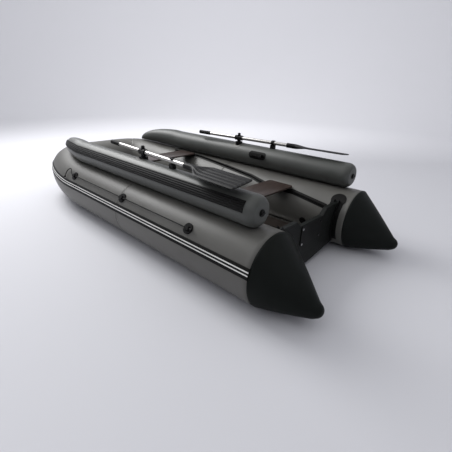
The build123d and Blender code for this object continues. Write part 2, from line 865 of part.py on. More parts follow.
def oar_blade():
    """Sleeve and ribbed paddle, dipped towards the middle of the boat."""
    sleeve = along_oar(-sleeve_start - 150, -sleeve_start, Circle(21))
    sleeve = sleeve - along_oar(-sleeve_start - 70, -sleeve_start + 5, Circle(shaft_radius + 0.05))
    wide = blade_width / 2
    shoulder = -blade_start - 110
    outline = Polyline((-blade_start, 24), (shoulder, wide), (-blade_end, wide), (-blade_end, -wide),
                       (shoulder, -wide), (-blade_start, -24), close=True)
    sketch = fillet(make_face(outline).vertices(), 14)
    paddle = extrude(Plane((0, 0, -blade_thick / 2)) * sketch, amount=blade_thick)
    for y, reach in ((0, 20), (46, 60), (-46, 60)):
        rib = along_oar(-blade_end + 14, -blade_start - 70 + 20 - reach, Ellipse(13, 7))
        paddle = paddle + Pos(0, y, 0) * rib
    middle = along_oar(-blade_start - 90, -sleeve_start - 149, Ellipse(15, 8))
    paddle = paddle + middle
    hollow = along_oar(-sleeve_start - 70, -sleeve_start + 5, Circle(shaft_radius + 0.05))
    paddle = paddle - hollow
    return on_oar(Rot(-blade_tilt, 0, 0) * (sleeve + paddle))


def oarlock_post():
    """Base glued on the upper tube, with the pin that the oar turns on."""
    base_top = oar_height - 36
    base = Pos(at(pin_place), pin_offset, 0) * extrude(Plane((0, 0, base_top - 60)) * Circle(35), amount=60)
    base = base - long_bar(at(pin_place) - 60, at(pin_place) + 60, rail_tube_offset, rail_tube_height,
                           Circle(rail_tube_radius + 2 * glue_gap + 1.5))
    shoulder = extrude(Plane((at(pin_place), pin_offset, base_top - 1)) * Circle(17), amount=9)
    pin = extrude(Plane((at(pin_place), pin_offset, base_top)) * Circle(pin_radius), amount=76)
    return base + shoulder + pin


def oarlock_patch():
    """Round fabric patch under the oarlock's base."""
    inner = rail_tube_radius + glue_gap
    shell = long_bar(at(pin_place) - 90, at(pin_place) + 90, rail_tube_offset, rail_tube_height,
                     Circle(inner + 1.5) - Circle(inner))
    tilt = asin((rail_tube_offset - pin_offset) / rail_tube_radius)
    plane = Plane((at(pin_place), rail_tube_offset, rail_tube_height), x_dir=(1, 0, 0),
                  z_dir=(0, -sin(tilt), cos(tilt)))
    return shell & extrude(plane * Circle(58), amount=200)


def oarlock_knob():
    """Screw-on knob over the collar."""
    low = oar_height + 27
    knob = extrude(Plane((at(pin_place), pin_offset, low)) * Circle(14), amount=20)
    knob = fillet(knob.edges().group_by(Axis.Z)[-1], 6)
    bore = extrude(Plane((at(pin_place), pin_offset, low - 5)) * Circle(pin_radius + 0.05), amount=19)
    return knob - bore


def oar_clip():
    """Cradle, open outboard, that parks the shaft."""
    bore = shaft_radius + 0.6
    ring = along_oar(-clip_back - 15, -clip_back + 15, Circle(bore + 4.5))
    lips = along_oar(-clip_back - 15, -clip_back + 15, Pos(9, 0) * Rectangle(18, 2 * bore + 9))
    channel = along_oar(-clip_back - 20, -clip_back + 20, Circle(bore) + Pos(20, 0) * Rectangle(40, 2 * bore))
    foot_low = oar_lift + 10
    foot = Pos(-clip_back, 0, -(foot_low + bore + 2) / 2) * Box(44, 30, foot_low - bore - 2)
    clip = on_oar(ring + lips + foot - channel)
    return clip - long_bar(at(700), at(1200), rail_tube_offset, rail_tube_height,
                           Circle(rail_tube_radius + glue_gap))


# Handles and tow ring



def carry_handle():
    """Moulded handle on the inner side of an upper tube."""
    skin_at = rail_tube_radius
    place = Plane((at(handle_centre), rail_tube_offset, rail_tube_height), x_dir=(1, 0, 0),
                  z_dir=(0, -cos(radians(handle_up)), sin(radians(handle_up))))
    shell = long_bar(at(handle_centre - 150), at(handle_centre + 150), rail_tube_offset, rail_tube_height,
                     Circle(skin_at + glue_gap + 3.5) - Circle(skin_at + glue_gap))
    base = shell & extrude(place * RectangleRounded(handle_length, 70, 24), amount=200)
    arch = extrude(place * Pos(0, 0, skin_at + 2) * Rectangle(handle_length - 44, 24), amount=38)
    gap = extrude(place * Pos(0, 0, skin_at - 10) * Rectangle(handle_length - 84, 30), amount=38)
    core = long_bar(at(handle_centre - 150), at(handle_centre + 150), rail_tube_offset, rail_tube_height,
                    Circle(skin_at + glue_gap))
    return base + (arch - gap - core)



def tow_pivot():
    out = tube_radius + 12
    return nose_axis + out * cos(radians(tow_drop)), nose_height - out * sin(radians(tow_drop))


def tow_patch():
    """Reinforced patch with a saddle for the tow ring, low on the nose."""
    place = Plane((nose_axis, 0, nose_height), x_dir=(0, 1, 0),
                  z_dir=(cos(radians(tow_drop)), 0, -sin(radians(tow_drop))))
    disc = extrude(place * Pos(0, 0, tube_radius - 30) * Circle(50), amount=32)
    saddle = extrude(place * Pos(0, 0, tube_radius + 1) * RectangleRounded(14, 24, 3), amount=20)
    x, z = tow_pivot()
    hole = Pos(x, 0, z) * Rot(90, 0, 0) * Cylinder(5.5, 60)
    return disc + saddle - nose_core() - hole


def tow_ring():
    x, z = tow_pivot()
    ring = Rot(0, 90, 0) * Torus(ring_major, ring_minor)
    return Pos(x, 0, z - ring_major) * ring


def main():
    os.makedirs("parts", exist_ok=True)

    aft = aft_tube()
    write("port_aft_tube", aft)
    write("starboard_aft_tube", other_side(aft))
    fore = fore_tube()
    write("port_fore_tube", fore)
    write("starboard_fore_tube", other_side(fore))
    panels = bow_panels()
    write("bow_corner_panels", *panels, *[other_side(panel) for panel in panels])
    write("nose_panel", nose_panel())
    write("chamber_bulkheads", *both(bulkhead()))
    write("port_stern_cone", stern_cone(1))
    write("starboard_stern_cone", stern_cone(-1))
    rail = rail_tube()
    write("port_upper_tube", rail)
    write("starboard_upper_tube", other_side(rail))
    write("upper_tube_strakes", *both(rail_strake()))
    sides, nose = rub_strake()
    write("rub_strake", nose, *sides, *[other_side(side) for side in sides])
    stripes = []
    for angle in stripe_angles:
        sides, nose = stripe(angle)
        stripes += [nose, *sides, *[other_side(side) for side in sides]]
    write("strake_stripes", *stripes)

    write("bottom_skin", *both(bottom_panel()))
    write("keel_guard", keel_guard())
    write("inflatable_keelson", keelson())
    boards = floor_boards()
    write("stern_floorboard", boards[0])
    write("middle_floorboards", *boards[1:])
    write("bow_floorboard", bow_board())
    write("floor_joiners", *joiners())
    write("floor_stringers", *both(stringer()))

    write("transom_board", transom_board())
    write("transom_holders", *both(transom_holder()))
    aft_face = at(transom_aft) - plate_thick
    fore_face = at(transom_fore) + plate_thick
    write("outer_motor_plate", motor_plate(aft_face, aft_face))
    write("inner_motor_plate", motor_plate(at(transom_fore), fore_face))
    write("motor_plate_bolts", *plate_bolts())
    write("drain_valve_body", drain_body())
    write("drain_plug", drain_plug())
    write("drain_plug_loop", drain_loop())

    write("seat_tracks", *both(seat_track()))
    write("rear_bench_plank", bench_plank(rear_bench))
    write("rear_bench_sliders", *both(bench_bracket(rear_bench)))
    write("front_bench_plank", bench_plank(front_bench))
    write("front_bench_sliders", *both(bench_bracket(front_bench)))

    for side, turn in (("port", lambda shape: shape), ("starboard", other_side)):
        write(f"{side}_oar_grip", turn(oar_grip()))
        write(f"{side}_oar_shaft", turn(oar_shaft()))
        write(f"{side}_oar_collar", turn(oar_collar()))
        write(f"{side}_oar_blade", turn(oar_blade()))
        write(f"{side}_lifeline", turn(lifeline()))
        cap = valve_cap(side_valve_plane(), tube_radius, valve_barrel, valve_flange)
        write(f"{side}_valve_cap", turn(cap))
        write(f"{side}_upper_valve_cap",
              turn(valve_cap(rail_valve_plane(), 0, small_valve_barrel, small_valve_flange)))
    write("oarlock_posts", *both(oarlock_post()))
    write("oarlock_patches", *both(oarlock_patch()))
    write("oarlock_knobs", *both(oarlock_knob()))
    write("oar_clips", *both(oar_clip()))
    holders = [line_holder(distance) for distance in holder_stations]
    write("lifeline_holders", *holders, *[other_side(holder) for holder in holders])
    write("lifeline_knots", *both(aft_knot()), *both(tail_knot()))

    side_body = valve_body(side_valve_plane(), tube_radius, valve_barrel, valve_flange, rim_sink)
    bow_body = valve_body(bow_valve_plane(), tube_radius, valve_barrel, valve_flange, rim_sink)
    upper_body = valve_body(rail_valve_plane(), 0, small_valve_barrel, small_valve_flange, 0)
    write("valve_bodies", *both(side_body), bow_body, *both(upper_body))
    write("bow_valve_cap", valve_cap(bow_valve_plane(), tube_radius, valve_barrel, valve_flange))

    write("carry_handles", *both(carry_handle()))
    write("tow_ring_patch", tow_patch())
    write("tow_ring", tow_ring())


main()
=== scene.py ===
import json
import math

import bpy
import numpy as np
from mathutils import Matrix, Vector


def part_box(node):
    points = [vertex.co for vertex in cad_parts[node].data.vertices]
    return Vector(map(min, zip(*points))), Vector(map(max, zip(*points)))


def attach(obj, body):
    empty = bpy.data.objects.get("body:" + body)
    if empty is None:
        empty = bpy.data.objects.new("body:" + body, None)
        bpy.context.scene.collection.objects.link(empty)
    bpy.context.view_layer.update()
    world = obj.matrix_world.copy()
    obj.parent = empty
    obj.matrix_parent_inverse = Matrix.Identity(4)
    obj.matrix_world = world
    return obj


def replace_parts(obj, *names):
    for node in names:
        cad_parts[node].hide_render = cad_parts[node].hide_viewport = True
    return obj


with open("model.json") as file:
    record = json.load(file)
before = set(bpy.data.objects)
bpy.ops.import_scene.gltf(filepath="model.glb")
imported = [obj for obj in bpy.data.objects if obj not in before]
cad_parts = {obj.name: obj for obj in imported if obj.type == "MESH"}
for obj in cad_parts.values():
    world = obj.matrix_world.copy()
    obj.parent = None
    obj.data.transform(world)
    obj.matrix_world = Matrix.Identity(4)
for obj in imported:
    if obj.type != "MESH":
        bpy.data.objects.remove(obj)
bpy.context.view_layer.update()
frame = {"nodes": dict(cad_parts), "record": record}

print("frame loaded", len(frame["nodes"]), "nodes")


def middle(node, axis):
    low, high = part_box(node)
    return (low[axis] + high[axis]) / 2


# Camera and light

camera = {"place": (-2.4015, 2.0010, 1.2635), "forward": (0.6213, -0.6703, -0.4058),
          "up": (0.2991, -0.2758, 0.9135), "lens": 26.29, "sensor": 36.0}


def makeCamera(c):
    data = bpy.data.cameras.new("camera")
    data.lens = c["lens"]
    data.sensor_width = c["sensor"]
    forward = np.array(c["forward"]) / np.linalg.norm(c["forward"])
    right = np.cross(forward, c["up"])
    right /= np.linalg.norm(right)
    up = np.cross(right, forward)
    turn = Matrix((right, up, -forward)).transposed().to_4x4()
    turn.translation = c["place"]
    o = bpy.data.objects.new("camera", data)
    o.matrix_world = turn
    bpy.context.scene.collection.objects.link(o)
    bpy.context.scene.camera = o


stage = {"floor": (0.60, 0.60, 0.63), "world": (0.93, 0.94, 0.97), "worldStrength": 0.84,
         "key": ((4.2, 0.6, 4.2), 3.0, 290.0), "fill": ((-0.5, 4.5, 4.8), 4.0, 30.0),
         "back": ((3.0, -3.5, 6.5), 6.0, 620.0), "backTarget": (11.0, -12.0, 3.0),
         "flat": 9.0, "bend": 7.0, "wall": 5.0, "around": 96}


def areaLight(name, place, size, power, target=(0.4, 0.0, 0.3)):
    data = bpy.data.lights.new(name, "AREA")
    data.size = size
    data.energy = power
    o = bpy.data.objects.new(name, data)
    aim = np.array(place) - np.array(target)
    aim = aim / np.linalg.norm(aim)
    side = np.cross((0, 0, 1), aim)
    side /= np.linalg.norm(side)
    turn = Matrix((side, np.cross(aim, side), aim)).transposed().to_4x4()
    turn.translation = place
    o.matrix_world = turn
    bpy.context.scene.collection.objects.link(o)


def makeStage(s):
    # A bowl: flat, then a quarter circle up, then a short wall, all turned round the vertical axis
    b = np.linspace(0, math.pi / 2, 25)
    r = np.concatenate([[0.01, s["flat"] / 2], s["flat"] + s["bend"] * np.sin(b), [s["flat"] + s["bend"]]])
    z = np.concatenate([[0, 0], s["bend"] * (1 - np.cos(b)), [s["bend"] + s["wall"]]])
    a = np.linspace(0, 2 * math.pi, s["around"], endpoint=False)
    heights = np.broadcast_to(z[:, None], (len(r), s["around"]))
    points = np.stack([r[:, None] * np.cos(a), r[:, None] * np.sin(a), heights], axis=-1)
    index = np.arange(len(r) * s["around"]).reshape(len(r), s["around"])
    beside = np.roll(index, -1, axis=1)
    faces = np.stack([index[:-1], index[1:], beside[1:], beside[:-1]], axis=-1).reshape(-1, 4).tolist()
    mesh = bpy.data.meshes.new("floor")
    mesh.from_pydata(points.reshape(-1, 3).tolist(), [], faces + [index[0].tolist()])
    mesh.polygons.foreach_set("use_smooth", np.ones(len(faces) + 1, dtype=bool))
    floor = bpy.data.objects.new("floor", mesh)
    bpy.context.scene.collection.objects.link(floor)
    mat = bpy.data.materials.new("paleFloor")
    mat.use_nodes = True
    shader = mat.node_tree.nodes["Principled BSDF"]
    shader.inputs["Base Color"].default_value = (*s["floor"], 1)
    shader.inputs["Roughness"].default_value = 0.8
    mesh.materials.append(mat)
    world = bpy.data.worlds.new("studio")
    world.use_nodes = True
    back = world.node_tree.nodes["Background"]
    back.inputs["Color"].default_value = (*s["world"], 1)
    back.inputs["Strength"].default_value = s["worldStrength"]
    bpy.context.scene.world = world
    areaLight("key", *s["key"])
    areaLight("fill", *s["fill"])
    areaLight("back", *s["back"], target=s["backTarget"])


makeCamera(camera)
makeStage(stage)
bpy.context.scene.view_settings.view_transform = "Standard"
print("camera and stage made")


# Node groups shared by the materials

def newGroup(name, ins, outs):
    g = bpy.data.node_groups.new(name, "ShaderNodeTree")
    for label, value in ins:
        g.interface.new_socket(label, in_out="INPUT", socket_type="NodeSocketFloat").default_value = value
    for label in outs:
        g.interface.new_socket(label, in_out="OUTPUT", socket_type="NodeSocketFloat")
    return g, g.nodes.new("NodeGroupInput"), g.nodes.new("NodeGroupOutput")


def mathNode(g, kind, a, b):
    n = g.nodes.new("ShaderNodeMath")
    n.operation = kind
    for socket, value in ((n.inputs[0], a), (n.inputs[1], b)):
        if isinstance(value, (int, float)):
            socket.default_value = value
        else:
            g.links.new(value, socket)
    return n.outputs[0]


def noiseNode(g, vector, scale, detail):
    n = g.nodes.new("ShaderNodeTexNoise")
    n.inputs["Detail"].default_value = detail
    g.links.new(vector, n.inputs["Vector"])
    if isinstance(scale, (int, float)):
        n.inputs["Scale"].default_value = scale
    else:
        g.links.new(scale, n.inputs["Scale"])
    return n.outputs["Fac"]


def coatedClothGroup():
    # Height = fine pebble noise + woven threads (two crossed sines); Patch = broad cloudy noise.
    g, gin, gout = newGroup("coatedCloth", [("Grain", 420.0), ("Cloud", 3.0), ("Thread", 900.0)],
                            ["Height", "Patch", "Scuff"])
    where = g.nodes.new("ShaderNodeTexCoord").outputs["Object"]
    axes = g.nodes.new("ShaderNodeSeparateXYZ")
    g.links.new(where, axes.inputs[0])
    around = mathNode(g, "ADD", axes.outputs["Y"], axes.outputs["Z"])
    warp = mathNode(g, "SINE", mathNode(g, "MULTIPLY", axes.outputs["X"], gin.outputs["Thread"]), 0)
    weft = mathNode(g, "SINE", mathNode(g, "MULTIPLY", around, gin.outputs["Thread"]), 0)
    threads = mathNode(g, "MULTIPLY", mathNode(g, "MULTIPLY", warp, weft), 0.12)
    pebble = noiseNode(g, where, gin.outputs["Grain"], 3)
    g.links.new(mathNode(g, "ADD", pebble, threads), gout.inputs["Height"])
    cloud = noiseNode(g, where, gin.outputs["Cloud"], 4)
    g.links.new(cloud, gout.inputs["Patch"])
    fine = noiseNode(g, where, 38.0, 6)
    g.links.new(mathNode(g, "MULTIPLY", fine, cloud), gout.inputs["Scuff"])
    return g


def woodGroup():
    # Figure = noise drawn out along the plank; on upright faces, ply bands that follow height darken it
    g, gin, gout = newGroup("plyWood", [("Figure scale", 18.0), ("Ply", 2100.0)], ["Figure"])
    where = g.nodes.new("ShaderNodeTexCoord").outputs["Object"]
    stretch = g.nodes.new("ShaderNodeMapping")
    stretch.inputs["Scale"].default_value = (6.0, 0.5, 6.0)
    g.links.new(where, stretch.inputs["Vector"])
    figure = noiseNode(g, stretch.outputs[0], gin.outputs["Figure scale"], 8)
    axes = g.nodes.new("ShaderNodeSeparateXYZ")
    g.links.new(where, axes.inputs[0])
    facing = g.nodes.new("ShaderNodeSeparateXYZ")
    g.links.new(g.nodes.new("ShaderNodeNewGeometry").outputs["Normal"], facing.inputs[0])
    upright = mathNode(g, "SUBTRACT", 1.0, mathNode(g, "ABSOLUTE", facing.outputs["Z"], 0))
    bands = mathNode(g, "SINE", mathNode(g, "MULTIPLY", axes.outputs["Z"], gin.outputs["Ply"]), 0)
    plies = mathNode(g, "MULTIPLY", mathNode(g, "MULTIPLY", bands, upright), 0.35)
    g.links.new(mathNode(g, "ADD", figure, plies), gout.inputs["Figure"])
    return g


cloth = coatedClothGroup()
wood = woodGroup()


def material(name, group, low, high, mask, rough, roughSpread, bump=0.0, height=None, metallic=0.0,
             coat=0.0, gloss=0.5, settings=()):
    # Colour and roughness mixed by a group's mask; the group's height feeds the bump.
    mat = bpy.data.materials.new(name)
    mat.use_nodes = True
    tree = mat.node_tree
    shader = tree.nodes["Principled BSDF"]
    detail = tree.nodes.new("ShaderNodeGroup")
    detail.node_tree = group
    for label, value in settings:
        detail.inputs[label].default_value = value
    ramp = tree.nodes.new("ShaderNodeValToRGB")
    ramp.color_ramp.elements[0].position = 0.3
    ramp.color_ramp.elements[0].color = (*low, 1)
    ramp.color_ramp.elements[1].position = 0.7
    ramp.color_ramp.elements[1].color = (*high, 1)
    tree.links.new(detail.outputs[mask], ramp.inputs["Fac"])
    tree.links.new(ramp.outputs["Color"], shader.inputs["Base Color"])
    spread = tree.nodes.new("ShaderNodeMapRange")
    spread.inputs["To Min"].default_value = rough - roughSpread
    spread.inputs["To Max"].default_value = rough + roughSpread
    tree.links.new(detail.outputs[mask], spread.inputs["Value"])
    tree.links.new(spread.outputs["Result"], shader.inputs["Roughness"])
    shader.inputs["Metallic"].default_value = metallic
    shader.inputs["Coat Weight"].default_value = coat
    shader.inputs["Specular IOR Level"].default_value = gloss
    if height:
        relief = tree.nodes.new("ShaderNodeBump")
        relief.inputs["Strength"].default_value = bump
        relief.inputs["Distance"].default_value = 0.0006
        tree.links.new(detail.outputs[height], relief.inputs["Height"])
        tree.links.new(relief.outputs["Normal"], shader.inputs["Normal"])
    return mat


finishes = {
    "tubeCloth": dict(group=cloth, low=(0.088, 0.086, 0.078), high=(0.11, 0.108, 0.099), mask="Patch",
                      rough=0.44, roughSpread=0.06, bump=0.25, height="Height", gloss=0.4),
    "upperCloth": dict(group=cloth, low=(0.06, 0.063, 0.058), high=(0.078, 0.081, 0.075), mask="Patch",
                       rough=0.42, roughSpread=0.06, bump=0.25, height="Height", gloss=0.35),
    "coneRubber": dict(group=cloth, low=(0.003, 0.0045, 0.0035), high=(0.006, 0.0075, 0.0065),
                       mask="Patch", rough=0.52, roughSpread=0.07, bump=0.3, height="Height",
                       gloss=0.12),
    "blackRubber": dict(group=cloth, low=(0.004, 0.004, 0.0038), high=(0.008, 0.008, 0.0075),
                        mask="Scuff", rough=0.55, roughSpread=0.08, bump=0.35, height="Height",
                        gloss=0.12, settings=[("Grain", 700.0)]),
    "whiteRubber": dict(group=cloth, low=(0.62, 0.62, 0.59), high=(0.74, 0.74, 0.72), mask="Patch",
                        rough=0.45, roughSpread=0.06, bump=0.2, height="Height",
                        settings=[("Cloud", 9.0)]),
    "bottomCloth": dict(group=cloth, low=(0.012, 0.012, 0.012), high=(0.02, 0.02, 0.019), mask="Patch",
                        rough=0.55, roughSpread=0.07, bump=0.3, height="Height", gloss=0.2),
    "blackPlastic": dict(group=cloth, low=(0.004, 0.004, 0.004), high=(0.009, 0.009, 0.009),
                         mask="Scuff", rough=0.5, roughSpread=0.07, bump=0.15, height="Height",
                         gloss=0.15, settings=[("Grain", 1100.0), ("Thread", 0.0)]),
    "aluminium": dict(group=cloth, low=(0.48, 0.47, 0.45), high=(0.6, 0.59, 0.57), mask="Scuff",
                      rough=0.36, roughSpread=0.06, bump=0.02, height="Height", metallic=1.0,
                      settings=[("Grain", 900.0), ("Thread", 0.0)]),
    "steel": dict(group=cloth, low=(0.55, 0.55, 0.55), high=(0.66, 0.66, 0.65), mask="Scuff",
                  rough=0.18, roughSpread=0.06, bump=0.05, height="Height", metallic=1.0,
                  settings=[("Grain", 900.0), ("Thread", 0.0)]),
    "benchWood": dict(group=wood, low=(0.026, 0.017, 0.014), high=(0.056, 0.038, 0.032), mask="Figure",
                      rough=0.38, roughSpread=0.08, bump=0.3, height="Figure", coat=0.2, gloss=0.35),
    "floorWood": dict(group=wood, low=(0.014, 0.011, 0.009), high=(0.028, 0.021, 0.018), mask="Figure",
                      rough=0.55, roughSpread=0.08, bump=0.4, height="Figure", gloss=0.2),
    "transomPaint": dict(group=wood, low=(0.003, 0.004, 0.0035), high=(0.007, 0.008, 0.007),
                         mask="Figure", rough=0.5, roughSpread=0.07, bump=0.2, height="Figure",
                         gloss=0.15),
    "cordCover": dict(group=cloth, low=(0.003, 0.003, 0.003), high=(0.009, 0.009, 0.0085),
                      mask="Scuff", rough=0.7, roughSpread=0.1, bump=0.8, height="Height", gloss=0.2,
                      settings=[("Grain", 300.0), ("Thread", 1500.0)]),
}
looks = {name: material(name, **finish) for name, finish in finishes.items()}
print("materials made", len(looks))


# Surfaces on a grid

def gridPiece(name, points, look, caps=False):
    # Mesh from an array (along, around, 3), closed around. Each cell is one face, wound to point outwards
    along, around = points.shape[:2]
    index = np.arange(along * around).reshape(along, around)
    beside = np.roll(index, -1, axis=1)
    faces = np.stack([index[:-1], beside[:-1], beside[1:], index[1:]], axis=-1).reshape(-1, 4)
    faceList = faces.tolist()
    if caps:
        faceList.append(index[0, ::-1].tolist())
        faceList.append(index[-1].tolist())
    mesh = bpy.data.meshes.new(name)
    mesh.from_pydata(points.reshape(-1, 3).tolist(), [], faceList)
    mesh.polygons.foreach_set("use_smooth", np.ones(len(faceList), dtype=bool))
    mesh.materials.append(looks[look])
    mesh.update()
    o = bpy.data.objects.new(name, mesh)
    bpy.context.scene.collection.objects.link(o)
    return o


def sharpen(o, degrees):
    o.data.set_sharp_from_angle(angle=math.radians(degrees))


# The hull's line: straight, gentle arc, tight arc, straight across the nose, and back

hull = {"radius": (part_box("port_aft_tube")[1][2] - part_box("port_aft_tube")[0][2]) / 2,
        "side": middle("port_aft_tube", 1), "stern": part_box("port_aft_tube")[0][0],
        "seam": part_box("port_aft_tube")[1][0],
        "noseX": middle("nose_panel", 0), "noseZ": middle("nose_panel", 2),
        "shoulderTurn": 20.0, "cornerRadius": 0.278, "noseHalf": 0.205, "around": 112,
        "tape": 0.022, "tapeThick": 0.0010,
        "groove": (0.0012, 0.003), "crease": (0.0028, 0.018), "pucker": 0.0022, "puckerRate": 118.0}


def halfLine(h, count=900):
    # Points of the port half at even steps: a straight, an arc of the shoulder's turn, an arc for the rest.
    turn = math.radians(h["shoulderTurn"])
    r = h["cornerRadius"]
    gentle = (h["side"] - h["noseHalf"] - r * math.cos(turn)) / (1 - math.cos(turn))
    corner = h["noseX"] - r
    start = corner + r * math.sin(turn) - gentle * math.sin(turn)
    a = np.linspace(0, turn, 200)
    b = np.linspace(turn, math.pi / 2, 200)[1:]
    x = np.concatenate([[h["stern"]], start + gentle * np.sin(a), corner + r * np.sin(b), [h["noseX"]]])
    y = np.concatenate([[h["side"]], h["side"] - gentle * (1 - np.cos(a)),
                        h["noseHalf"] + r * np.cos(b), [0.0]])
    share = np.clip((x - start) / (h["noseX"] - start), 0, 1)
    z = h["radius"] + (h["noseZ"] - h["radius"]) * share * share * (3 - 2 * share)
    points = np.stack([x, y, z], axis=1)
    length = np.concatenate([[0], np.cumsum(np.linalg.norm(np.diff(points, axis=0), axis=1))])
    return points, length


halfPoints, halfLength = halfLine(hull)
lineEnd = halfLength[-1]


def lineAt(s):
    # Centre, outboard and up at arc length s from the port stern; past the nose it mirrors to starboard.
    s = np.asarray(s, dtype=float)
    mirrored = s > lineEnd
    t = np.where(mirrored, 2 * lineEnd - s, s)
    step = 0.004

    def place(v):
        v = np.clip(v, 0, lineEnd)
        return np.stack([np.interp(v, halfLength, halfPoints[:, k]) for k in range(3)], axis=-1)

    centre = place(t)
    ahead = place(t + step) - place(t - step)
    ahead[t > lineEnd - step] = (0, -1, 0)
    ahead /= np.linalg.norm(ahead, axis=-1, keepdims=True)
    out = np.cross((0, 0, 1), ahead)
    out /= np.linalg.norm(out, axis=-1, keepdims=True)
    up = np.cross(ahead, out)
    flip = np.where(mirrored, -1.0, 1.0)[..., None] * np.array([0, 1, 0]) + np.array([1, 0, 1])
    return centre * flip, out * flip, up * flip


def seamLengths(h):
    # Arc lengths of the welded seams: the chamber seam and the bow corner, both sides.
    chamber = h["seam"] - h["stern"]
    corner = lineEnd - h["noseHalf"] - h["cornerRadius"] * 0.62
    return np.array([chamber, corner, 2 * lineEnd - corner, 2 * lineEnd - chamber])


def stationsAlong(low, high, seams, step=0.035):
    # Even steps, with a few close ones each side of a seam.
    beyond = np.array([0.003, 0.010, 0.020, 0.022, 0.024, 0.030])
    near = np.concatenate([-beyond[::-1], [0], beyond])
    s = np.concatenate([np.arange(low, high, step), [high]] + [seam + near for seam in seams])
    return np.unique(np.round(s[(s >= low) & (s <= high)], 5))


def hullSkin(h):
    # Circle carried along the line; raised tape and a fine groove at seams; puckers inside the bow's bend.
    seams = seamLengths(h)
    s = stationsAlong(0, 2 * lineEnd, seams)
    a = np.linspace(0, 2 * math.pi, h["around"], endpoint=False)
    centre, out, up = lineAt(s)
    away = np.abs(s[:, None] - seams[None, :]).min(axis=1)
    raised = h["tapeThick"] * np.clip((h["tape"] + 0.001 - away) / 0.002, 0, 1)
    valleys = [depth * np.exp(-(away / width) ** 2) for depth, width in (h["groove"], h["crease"])]
    groove = -valleys[0] - valleys[1]
    inBow = np.clip((np.minimum(s, 2 * lineEnd - s) - (lineEnd - 0.75)) / 0.2, 0, 1)
    inner = np.clip(-np.cos(a), 0, 1) ** 2
    wave = 0.5 + 0.5 * np.sin(s[:, None] * h["puckerRate"] + 2 * np.sin(3 * a))
    pucker = -h["pucker"] * inBow[:, None] * inner[None, :] * wave
    r = h["radius"] - 0.0004 + (raised + groove)[:, None] + pucker
    points = centre[:, None] + r[..., None] * (np.cos(a)[None, :, None] * out[:, None]
                                               + np.sin(a)[None, :, None] * up[:, None])
    points[..., 2] = np.maximum(points[..., 2], 0.0)
    skin = gridPiece("hullSkin", points, "tubeCloth", caps=True)
    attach(skin, "hull")
    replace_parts(skin, "port_aft_tube", "starboard_aft_tube", "port_fore_tube", "starboard_fore_tube",
                "bow_corner_panels", "nose_panel")


hullSkin(hull)
print("hull skin made")


# Rubbing strake and its stripes

strake = {"low": 7.8, "high": 24.2, "thick": 0.0053, "rib": 0.0009, "ribs": 5,
          "stripes": (14.1, 18.7), "stripeHalf": 0.85, "proud": 0.0007}


def bandAlong(name, degrees, heights, look, base=0.0002):
    # Closed band: outer edge at the given heights over the tube, inner edge on the skin.
    s = stationsAlong(0, 2 * lineEnd, [], 0.03)
    centre, out, up = lineAt(s)
    a = np.radians(np.concatenate([degrees, degrees[::-1]]))
    r = hull["radius"] + np.concatenate([heights, np.full(len(heights), base)])
    points = centre[:, None] + r[None, :, None] * (np.cos(a)[None, :, None] * out[:, None]
                                                   + np.sin(a)[None, :, None] * up[:, None])
    o = gridPiece(name, points, look, caps=True)
    sharpen(o, 35)
    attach(o, "hull")
    return o


def makeStrake(k):
    # Height over the tube = a low swell with raised edges and shallow ribs between.
    degrees = np.linspace(k["low"], k["high"], 41)
    across = (degrees - k["low"]) / (k["high"] - k["low"])
    edge = np.clip(np.minimum(across, 1 - across) / 0.05, 0, 1) ** 0.5
    ribs = k["rib"] * np.cos(across * 2 * math.pi * k["ribs"])
    heights = 0.0008 + (k["thick"] - 0.0014 + ribs) * edge
    o = bandAlong("rubStrake", degrees, heights, "blackRubber")
    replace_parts(o, "rub_strake")
    for number, angle in enumerate(k["stripes"]):
        d = np.linspace(angle - k["stripeHalf"], angle + k["stripeHalf"], 7)
        crown = 1 - ((d - angle) / k["stripeHalf"]) ** 2
        heights = k["thick"] + k["proud"] * (0.4 + 0.6 * crown)
        stripe = bandAlong(f"whiteStripe{number}", d, heights, "whiteRubber",
                           base=k["thick"] - 0.002)
        if number == 0:
            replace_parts(stripe, "strake_stripes")


makeStrake(strake)
print("strake made")


# Stern cones

cone = {"tip": (0.307, 0.582, 0.1277), "tipRadius": 0.047, "rings": 34, "around": 112}


def makeCone(c, side, name):
    # Rings shrink evenly from the seam until they touch the ball all round, then follow it to its pole
    ball = c["tipRadius"]
    lean = math.atan((hull["radius"] - 1.17 * ball) / c["tip"][0])
    wide = ball / math.cos(lean)
    t = np.linspace(0, 1 + ball * math.sin(lean) / c["tip"][0], c["rings"])
    held = np.minimum(t, 1)
    r = hull["radius"] + (wide - hull["radius"]) * t + 0.004 * np.sin(math.pi * held)
    b = np.linspace(lean, math.pi / 2, 16)[1:]
    x = hull["stern"] - np.concatenate([c["tip"][0] * t, c["tip"][0] + ball * np.sin(b)])
    held = np.concatenate([held, np.ones(len(b))])
    y = hull["side"] + (c["tip"][1] - hull["side"]) * held
    z = hull["radius"] + (c["tip"][2] - hull["radius"]) * held
    r = np.concatenate([r, np.maximum(ball * np.cos(b), 0.0008)])
    r[0] = hull["radius"] + 0.0006
    a = np.linspace(0, 2 * math.pi, c["around"], endpoint=False)
    points = np.stack([np.broadcast_to(x[:, None], (len(x), len(a))),
                       side * (y[:, None] + r[:, None] * np.cos(a)),
                       z[:, None] + r[:, None] * np.sin(a)], axis=-1)
    points[..., 2] = np.maximum(points[..., 2], 0.0)
    if side > 0:
        points = points[:, ::-1]
    o = gridPiece(name, points, "coneRubber", caps=True)
    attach(o, "hull")
    return o


for side, word in ((1, "port"), (-1, "starboard")):
    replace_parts(makeCone(cone, side, f"{word}Cone"), f"{word}_stern_cone")
print("cones made")


# Upper tubes and their strakes

